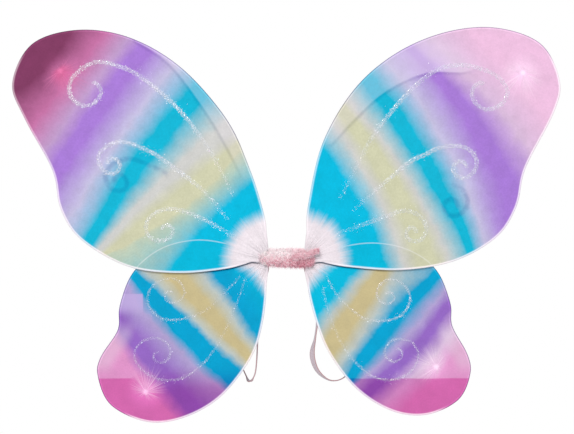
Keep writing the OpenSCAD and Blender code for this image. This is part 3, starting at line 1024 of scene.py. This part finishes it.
def glitter_line(wing, place, glue, flake):
    """A low rounded strip of glue and the flakes lying in it and round it."""
    line = wing.lines[place]
    flat = line[:, :2]
    share = np.linspace(0, 1, len(flat))
    width = line[:, 2] * (1.0 + 0.2 * share)
    if wing.level == "upper":
        shown = ease((share - 0.02) / 0.30)
    else:
        shown = 0.2 + 0.35 * ease((share - 0.1) / 0.4)
    laid = GLITTER_SHARE.get((wing.name, place), 1.0)
    shown = shown * laid * GLUE[wing.name]
    side = left_of(flat)
    length = len(flat)
    wobble = np.array([0.16 * math.sin(i * 0.9) + 0.12 * math.sin(i * 2.3 + 1) for i in range(length)])
    tip = np.minimum(1, np.minimum(np.arange(length), length - 1 - np.arange(length)) / 3 + 0.25)
    rows = []
    for reach, lift in BEAD:
        spots = flat + side * (reach * (width / 2 * tip * (1 + wobble)))[:, None]
        rows.append(wing.spot(spots, True, 0.05 + 0.3 * lift))
    points = np.concatenate(rows)
    covers = [np.concatenate([shown * (0.75 + 0.5 * (abs(reach) > 0.5)) for reach, _ in BEAD])]
    faces = []
    for r in range(len(BEAD) - 1):
        for i in range(length - 1):
            a, b = r * length + i, r * length + i + 1
            c, d = b + length, a + length
            faces.append((a, b, c, d) if wing.hand > 0 else (a, d, c, b))
    glue_faces = len(faces)
    tints = [np.zeros(len(points))]

    count = int(length * FLAKES[wing.name] * laid)
    stray = int(length * 0.5)
    at = np.concatenate([rng.uniform(0, length - 1, count), rng.uniform(0, length * 0.55, stray)])
    spread = np.concatenate([rng.normal(0, 0.62, count), rng.normal(0, 1.8, stray)])
    low = at.astype(int)
    rest = (at - low)[:, None]
    high = np.minimum(low + 1, length - 1)
    middle = flat[low] * (1 - rest) + flat[high] * rest + side[low] * (spread * width[low] / 2)[:, None]
    lift = np.where(np.abs(spread) < 1, 0.42 - 0.2 * np.abs(spread), 0.12)
    centre = wing.spot(middle, True, 0) + np.array([0, -1, 0]) * lift[:, None]
    size = rng.uniform(0.10, 0.28, len(at)) * rng.choice([1.0, 2.2], len(at), p=[0.93, 0.07])
    size = size * np.where(rng.uniform(0, 1, len(at)) < 0.25 + 0.75 * shown[low], 1.0, 0.3)
    turn = rng.uniform(0, math.pi, len(at))
    lean = rng.normal(0, 0.45, (len(at), 2))
    normal = unit(np.column_stack([lean[:, 0], -np.ones(len(at)), lean[:, 1]]))
    first = unit(np.cross(normal, np.column_stack([np.cos(turn), np.zeros(len(at)), np.sin(turn)])))
    second = np.cross(normal, first)
    start = len(points)
    four_ways = ((1, 0), (0, 1), (-1, 0), (0, -1))
    corners = [centre + size[:, None] * (a * first + b * second) for a, b in four_ways]
    points = np.concatenate([points, np.stack(corners, axis=1).reshape(-1, 3)])
    faces += [tuple(range(start + 4 * i, start + 4 * i + 4)) for i in range(len(at))]
    tints.append(np.repeat(rng.uniform(0, 1, len(at)), 4))
    covers.append(np.ones(4 * len(at)))
    picks = [0] * glue_faces + [1] * len(at)
    values = {"tint": np.concatenate(tints), "cover": np.concatenate(covers)}
    return mesh_object(f"{wing.name}_{place}_glitter", points, faces, [glue, flake], values, picks)


# ---------------------------------------------------------------- plush middle


def fleece_material():
    """Fleecy yarn from near white to rose, by the tint of each fibre."""
    look = Look("fleece")
    tint = look.attribute("tint")
    place = look.place()
    mottle = look.swing(look.noise(place, 260, 3), 0.5)
    stops = [(0.0, srgb(255, 252, 252)), (0.25, srgb(255, 238, 242)), (0.5, srgb(251, 208, 218))]
    stops += [(0.8, srgb(236, 166, 182)), (1.0, srgb(210, 130, 150))]
    colour = look.ramp(look.math("ADD", tint, mottle, clamp=True), stops)
    normal = look.bump(look.noise(place, 1800, 2), 0.0002)
    return look.finish(look.principled(Base_Color=colour, Roughness=0.9, Normal=normal, Sheen_Weight=0.4))


def fibres(roots, directions, normals, lengths, tints, width):
    """Tapered, slightly curved fibres as points, faces and tints."""
    count = len(roots)
    side = unit(np.cross(directions, normals + rng.normal(0, 0.4, (count, 3))))
    curl = rng.normal(0, 0.22, (count, 3)) - 0.18 * normals
    points, rows = [], ((0.0, 1.0), (0.35, 0.9), (0.7, 0.6), (1.0, 0.08))
    for along, thick in rows:
        spine = roots + directions * (lengths * along)[:, None] + curl * (lengths * along**2)[:, None]
        points += [spine - side * (width * thick / 2)[:, None], spine + side * (width * thick / 2)[:, None]]
    points = np.stack(points, axis=1)
    faces = []
    for i in range(count):
        s = i * 2 * len(rows)
        faces += [(s + 2 * k, s + 2 * k + 1, s + 2 * k + 3, s + 2 * k + 2) for k in range(len(rows) - 1)]
    return points.reshape(-1, 3), faces, np.repeat(tints, 2 * len(rows))


def furred(name, core, tints, fur, material):
    """A piece from its core, the core's tints, and its fibres."""
    values = {"tint": np.concatenate([tints, fur[2]])}
    return mesh_object(name, *joined(core, fur[:2]), [material], values)


# Distance between the turns of yarn, and how much they lean
YARN_PITCH = 8.5
YARN_LEAN = 0.55
MIDDLE_FIBRES = 15000
END_FIBRES = 4200


def plush_middle(material):
    """The fleecy yarn wound round the middle: a lumpy core and its pile."""
    low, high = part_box("plush_wrap")
    low, high = np.array(low) / MM, np.array(high) / MM
    middle, half = (low + high) / 2, (high - low) / 2
    half_x, half_y, half_z = half[0] - 0.8, half[1] - 0.9, half[2] - 1.3

    def skin(x, angle):
        """Point of the core at a share x of its half length and an angle round it."""
        c, s = np.cos(angle), np.sin(angle)
        square = (np.abs(c) ** 2.4 + np.abs(s) ** 2.4) ** (-1 / 2.4)
        end = np.where(x < 0, (1 - np.abs(x) ** 3.2) ** 0.55, (1 - np.abs(x) ** 5) ** 0.4)
        phase = 2 * math.pi * (x * half_x / YARN_PITCH) + angle + YARN_LEAN * np.sin(angle * 2 + x * 4)
        groove = np.abs(np.cos(phase / 2)) ** 3
        lump = 1 - 0.06 * groove + 0.04 * np.sin(5 * angle + 9 * x)
        raised = 1.6 * (1 - x) / 2 - 0.8
        y = np.minimum(middle[1] + half_y * square * c * end * lump, -0.9)
        z = middle[2] + raised + (half_z - 0.8) * square * s * end * lump
        return np.stack([middle[0] + half_x * x, y, z], axis=-1)

    def shade(points):
        """0 is near white and 1 is deep rose: rosier below and to the right, palest at upper left."""
        x, z = points[..., 0], points[..., 2]
        strand = 0.5 + 0.5 * np.sin((x * 0.6 + z) * 1.9 + 1.2 * np.sin(x / 4))
        below = ease((4 - z) / 9)
        right = ease((x + 6) / 22)
        return np.clip(0.16 + 0.26 * right + 0.40 * below + (0.2 + 0.4 * below) * (strand - 0.5), 0.0, 0.95)

    steps = 110
    sides = 72
    shares = np.clip(np.sin(np.linspace(-math.pi / 2, math.pi / 2, steps)), -0.9995, 0.9995)
    angles = np.arange(sides) * 2 * math.pi / sides
    rings = [skin(np.full(sides, share), angles) for share in shares]
    tints = [shade(ring) for ring in rings]

    count = MIDDLE_FIBRES
    x = rng.uniform(-0.985, 0.985, count)
    angle = rng.uniform(0, 2 * math.pi, count)
    roots = skin(x, angle)
    ahead = skin(x, angle + 0.02)
    further = skin(np.clip(x + 0.004, -0.99, 0.99), angle)
    round_way = unit(ahead - roots)
    long_way = unit(further - roots)
    normals = unit(np.cross(round_way, long_way))
    outwards = np.sign(np.sum(normals * (roots - middle), axis=1))[:, None]
    normals = normals * outwards
    way = round_way * rng.choice([-1, 1], count)[:, None] * 0.45
    way = way + long_way * rng.normal(0.6, 0.45, count)[:, None]
    way = unit(way + normals * rng.uniform(0.25, 0.95, count)[:, None])
    lengths = rng.uniform(2.2, 5.0, count) * (1 - 0.35 * (roots[:, 1] > -2.5))
    width = rng.uniform(0.16, 0.34, count)
    tint = np.clip(shade(roots) + rng.normal(0, 0.10, count), 0, 1)
    fur = fibres(roots, way, normals, lengths, tint, width)
    fur[0][:, 1] = np.minimum(fur[0][:, 1], 0.2)
    return furred("plush_yarn", tube(rings), np.concatenate(tints), fur, material)


def plush_end(material):
    """The loose end of the yarn, lying across the front and rising at its tip."""
    low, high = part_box("plush_tail")
    low, high = np.array(low) / MM, np.array(high) / MM
    y = (low[1] + high[1]) / 2 + 1.0
    path = curve(
        [
            (low[0] - 4, y + 3, low[2] + 0.5),
            (low[0] + 2, y + 1.2, low[2] + 2.5),
            (low[0] + 9, y + 0.6, low[2] + 3.4),
            (high[0] - 3, y + 0.4, high[2] - 2.4),
            (high[0] + 2.5, y + 0.8, high[2] - 0.6),
        ],
        8,
    )
    radii = np.interp(np.linspace(0, 1, len(path)), [0, 0.2, 0.7, 1], [1.2, 2.0, 1.6, 0.4])
    radii = radii * (1 + 0.12 * np.sin(np.arange(len(path)) * 1.4))
    core = tube(round_tube(path, radii, 12))
    tints = np.clip(0.45 - 0.03 * (core[0][:, 2] - path[:, 2].mean()), 0, 1)
    count = END_FIBRES
    at = rng.integers(0, len(path), count)
    ahead = travel(path)[at]
    around = rng.uniform(0, 2 * math.pi, count)
    side = unit(np.cross(ahead, [0, 1, 0]))
    normals = np.cos(around)[:, None] * side + np.sin(around)[:, None] * np.cross(ahead, side)
    roots = path[at] + normals * (radii[at] * 0.9)[:, None]
    way = ahead * rng.uniform(0.2, 1.0, count)[:, None]
    way = unit(way + normals * rng.uniform(0.4, 1.0, count)[:, None])
    tint = np.clip(0.45 + 0.5 * (at > 0.93 * len(path)) + rng.normal(0, 0.13, count), 0, 1)
    lengths = rng.uniform(1.8, 4.4, count)
    fur = fibres(roots, way, normals, lengths, tint, rng.uniform(0.16, 0.32, count))
    return furred("plush_loose_end", core, tints, fur, material)


# ---------------------------------------------------------------- arm loops

# Middle line of each arm loop as [x, y, z, turn of the width away from across], as the CAD has it,
# with both ends carried on up into the plush
LEFT_ROUTE = [
    (-21, -3.2, -8.6, 0), (-21, -3.2, -11, 0), (-21.5, -0.5, -13, 0), (-22.5, 2.4, -17, 0), (-25, 5, -30, 30),
    (-28, 6.5, -52, 60), (-29, 8, -80, 85), (-30, 9, -103, 88), (-32, 13, -118, 88), (-37, 21, -125, 88),
    (-42, 30, -119, 88), (-48, 36, -103, 85), (-48, 37, -80, 70), (-42, 31, -52, 45), (-31, 17, -30, 15),
    (-24, 5.4, -17, 0), (-22, 1.6, -13, 0), (-21, -1.5, -11, 0), (-21, -1.5, -8.6, 0),
]
RIGHT_ROUTE = [
    (21, -3.2, -8.6, 0), (21, -3.2, -11, 0), (21.5, -0.5, -13, 0), (22.5, 2.4, -17, 0), (26, 6, -32, -30),
    (31, 8.5, -58, -70), (29, 10, -80, -80), (26, 11, -98, -50), (31, 13, -114, -60), (43, 16, -124, -80),
    (56, 18, -123, -85), (67, 20, -112, -80), (71, 21, -95, -70), (63, 20, -68, -50), (46, 16, -42, -25),
    (31, 9.5, -26, -10), (24, 5, -17, 0), (22, 1.6, -13, 0), (21, -1.5, -11, 0), (21, -1.5, -8.6, 0),
]
BAND_WIDTH = 7.0
BAND_THICK = 1.2
BAND_RIBS = 6
BAND_PICK = 0.9
BAND_STEP = 1.4


def elastic_material():
    """Woven elastic: ribs along it, fine picks across it, paler at the edges."""
    look = Look("elastic")
    along = look.attribute("along")
    across = look.attribute("width")
    pick = look.waves(along, BAND_PICK)
    rib = look.waves(across, 1 / BAND_RIBS)
    weave = look.plus(look.times(pick, 0.25), look.times(rib, 0.25))
    colour = look.ramp(look.plus(weave, 0.5), [(0.0, srgb(158, 148, 158)), (1.0, srgb(214, 206, 214))])
    edge = look.fall(look.math("ABSOLUTE", look.minus(across, 0.5)), 0.5, 0.36)
    colour = look.mix(look.times(look.rest(edge), 0.8), srgb(186, 144, 146), colour)
    normal = look.bump(weave, 0.00015)
    return look.finish(look.principled(Base_Color=colour, Roughness=0.75, Normal=normal, Sheen_Weight=0.2))


def arm_loop(side, route, material):
    """A ribbed flat band swept along its route, turning as the route says."""
    line = evenly(curve(route, 10), BAND_STEP)
    path = line[:, :3]
    turns = np.radians(line[:, 3])
    ahead = travel(path)
    columns = np.linspace(-1, 1, 4 * BAND_RIBS + 1)
    bulge = BAND_THICK / 2 * (0.86 + 0.14 * np.cos(columns * math.pi * BAND_RIBS)) * (1 - 0.35 * columns**8)
    profile = [(c, b) for c, b in zip(columns, bulge)] + [(c, -b) for c, b in zip(columns[::-1], bulge[::-1])]
    rings = []
    for point, forward, turn in zip(path, ahead, turns):
        flat_way = unit(np.cross(forward, [0, 1, 0]))
        back = np.cross(flat_way, forward)
        wide = flat_way * math.cos(turn) + back * math.sin(turn)
        thick = np.cross(wide, forward)
        rings.append([point + c * wide * BAND_WIDTH / 2 + b * thick for c, b in profile])
    points, faces = tube([np.array(r) for r in rings])
    widths = np.array([(c + 1) / 2 for c, _ in profile])
    along = np.repeat(np.arange(len(path)) * BAND_STEP, len(profile))
    values = {"along": along, "width": np.tile(widths, len(path))}
    return mesh_object(f"{side}_arm_elastic", points, faces, [material], values)


# ---------------------------------------------------------------- pieces kept from the CAD


def tape_material():
    """Off-white cloth tape, plainly woven and a little stained."""
    look = Look("cloth_tape")
    place = look.place()
    inputs = {"Vector": place, "Scale": 900.0, "Mortar Size": 0.03}
    weave = look.add("ShaderNodeTexBrick", inputs, out="Fac")
    stain = look.noise(place, 150, 3)
    colour = look.ramp(stain, [(0.3, srgb(226, 222, 220)), (0.7, srgb(248, 246, 244))])
    return look.finish(look.principled(Base_Color=colour, Roughness=0.8, Normal=look.bump(weave, 0.0001)))


def dress(node, material):
    """Gives a CAD node that stays its own finish."""
    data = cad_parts[node].data
    data.materials.clear()
    data.materials.append(material)


# ---------------------------------------------------------------- the scene


def stand_in(piece, body, node):
    """The piece rides on a body and takes the place of a CAD node, which is hidden."""
    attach(piece, body)
    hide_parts(node)


def build_wings():
    wire = wire_material()
    thread = thread_material()
    stub = stub_material()
    glue = glue_material()
    flake = flake_material()
    wings = {(side, level): Wing(side, level) for side in ("left", "right") for level in ("upper", "lower")}
    for (side, level), wing in wings.items():
        wing.under = evenly(wings[side, "lower" if level == "upper" else "upper"].rim, 1.0)
        for place in LINES[level]:
            wing.lines[place] = centre_line(f"{wing.name}_glitter_{place}", wing.hand)
        cloth = wing_cloth(wing, stocking_material(wing))
        stand_in(cloth, wing.body, f"{wing.name}_stocking")
        bent = frame_wire(wing, wire)
        stand_in(bent, wing.body, f"{wing.name}_frame_wire")
        stand_in(tip_knot(wing, thread, stub), wing.body, f"{wing.name}_tip_knot")
        for place in LINES[level]:
            drawn = glitter_line(wing, place, glue, flake)
            stand_in(drawn, wing.body, f"{wing.name}_glitter_{place}")
        dress(f"{wing.name}_wire_tails", wire)


def build_middle():
    fleece = fleece_material()
    stand_in(plush_middle(fleece), "hub", "plush_wrap")
    stand_in(plush_end(fleece), "hub", "plush_tail")
    dress("binding_tape", tape_material())


def build_arm_loops():
    elastic = elastic_material()
    for side, route in (("left", LEFT_ROUTE), ("right", RIGHT_ROUTE)):
        band = arm_loop(side, route, elastic)
        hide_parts(f"{side}_strap_loop")
        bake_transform(band)
        dress(f"{side}_strap_ends", elastic)


def light(name, at, towards, size, power, colour):
    lamp = bpy.data.lights.new(name, "AREA")
    lamp.shape = "RECTANGLE"
    lamp.size, lamp.size_y = size
    lamp.energy = power
    lamp.color = colour
    holder = bpy.data.objects.new(name, lamp)
    bpy.context.scene.collection.objects.link(holder)
    holder.location = at
    holder.rotation_euler = (Vector(towards) - Vector(at)).to_track_quat("-Z", "Y").to_euler()


# The floor, in metres
FLOOR_HEIGHT = -0.34
FLOOR_RADIUS = 0.62
FLOOR_SIDES = 96
# Strength of the light from all round
SURROUND_LIGHT = 0.60
# Depth of the wings, the camera's distance from them and the width that it sees there, in metres
WINGS_Y = -0.009
VIEW_FROM = 2.0
VIEW_WIDTH = 0.574


def stage():
    """Pale floor, soft light, white surround, and the camera straight in front."""
    scene = bpy.context.scene
    scene.view_settings.view_transform = "Standard"

    look = Look("floor")
    soft = look.noise(look.place(), 6, 3)
    colour = look.ramp(soft, [(0.3, srgb(236, 236, 238)), (0.7, srgb(244, 244, 245))])
    floor_look = look.finish(look.principled(Base_Color=colour, Roughness=0.8))
    angles = np.arange(FLOOR_SIDES) * 2 * math.pi / FLOOR_SIDES
    height = np.full(FLOOR_SIDES, FLOOR_HEIGHT)
    rim = np.column_stack([FLOOR_RADIUS * np.cos(angles), FLOOR_RADIUS * np.sin(angles), height])
    floor = mesh_object("floor", rim / MM, [tuple(range(FLOOR_SIDES))], [floor_look])

    world = bpy.data.worlds.new("surround")
    scene.world = world
    world.use_nodes = True
    nodes, links = world.node_tree.nodes, world.node_tree.links
    nodes.clear()
    both = nodes.new("ShaderNodeMixShader")
    for socket, strength in ((1, SURROUND_LIGHT), (2, 1.0)):
        sky = nodes.new("ShaderNodeBackground")
        sky.inputs["Strength"].default_value = strength
        sky.inputs["Color"].default_value = (1, 1, 1, 1)
        links.new(sky.outputs[0], both.inputs[socket])
    path = nodes.new("ShaderNodeLightPath")
    out = nodes.new("ShaderNodeOutputWorld")
    links.new(path.outputs["Is Camera Ray"], both.inputs[0])
    links.new(both.outputs[0], out.inputs[0])

    light("key", (-0.5, -2.2, 1.1), (0, 0, 0), (0.6, 0.6), 39, (1.0, 0.99, 0.98))
    light("fill", (1.7, -1.6, 0.4), (0, 0, 0), (1.6, 1.6), 9, (0.97, 0.985, 1.0))
    light("back", (0.4, 2.2, 1.2), (0, 0, 0), (1.8, 1.2), 16, (1.0, 1.0, 1.0))

    camera = bpy.data.cameras.new("camera")
    camera.sensor_width = 36.0
    holder = bpy.data.objects.new("camera", camera)
    scene.collection.objects.link(holder)
    holder.location = (0.0005, WINGS_Y - VIEW_FROM, 0.041)
    holder.rotation_euler = (math.pi / 2, 0, 0)
    camera.lens = camera.sensor_width * VIEW_FROM / VIEW_WIDTH
    camera.clip_start, camera.clip_end = 0.1, 20
    scene.camera = holder


build_wings()
build_middle()
build_arm_loops()
stage()
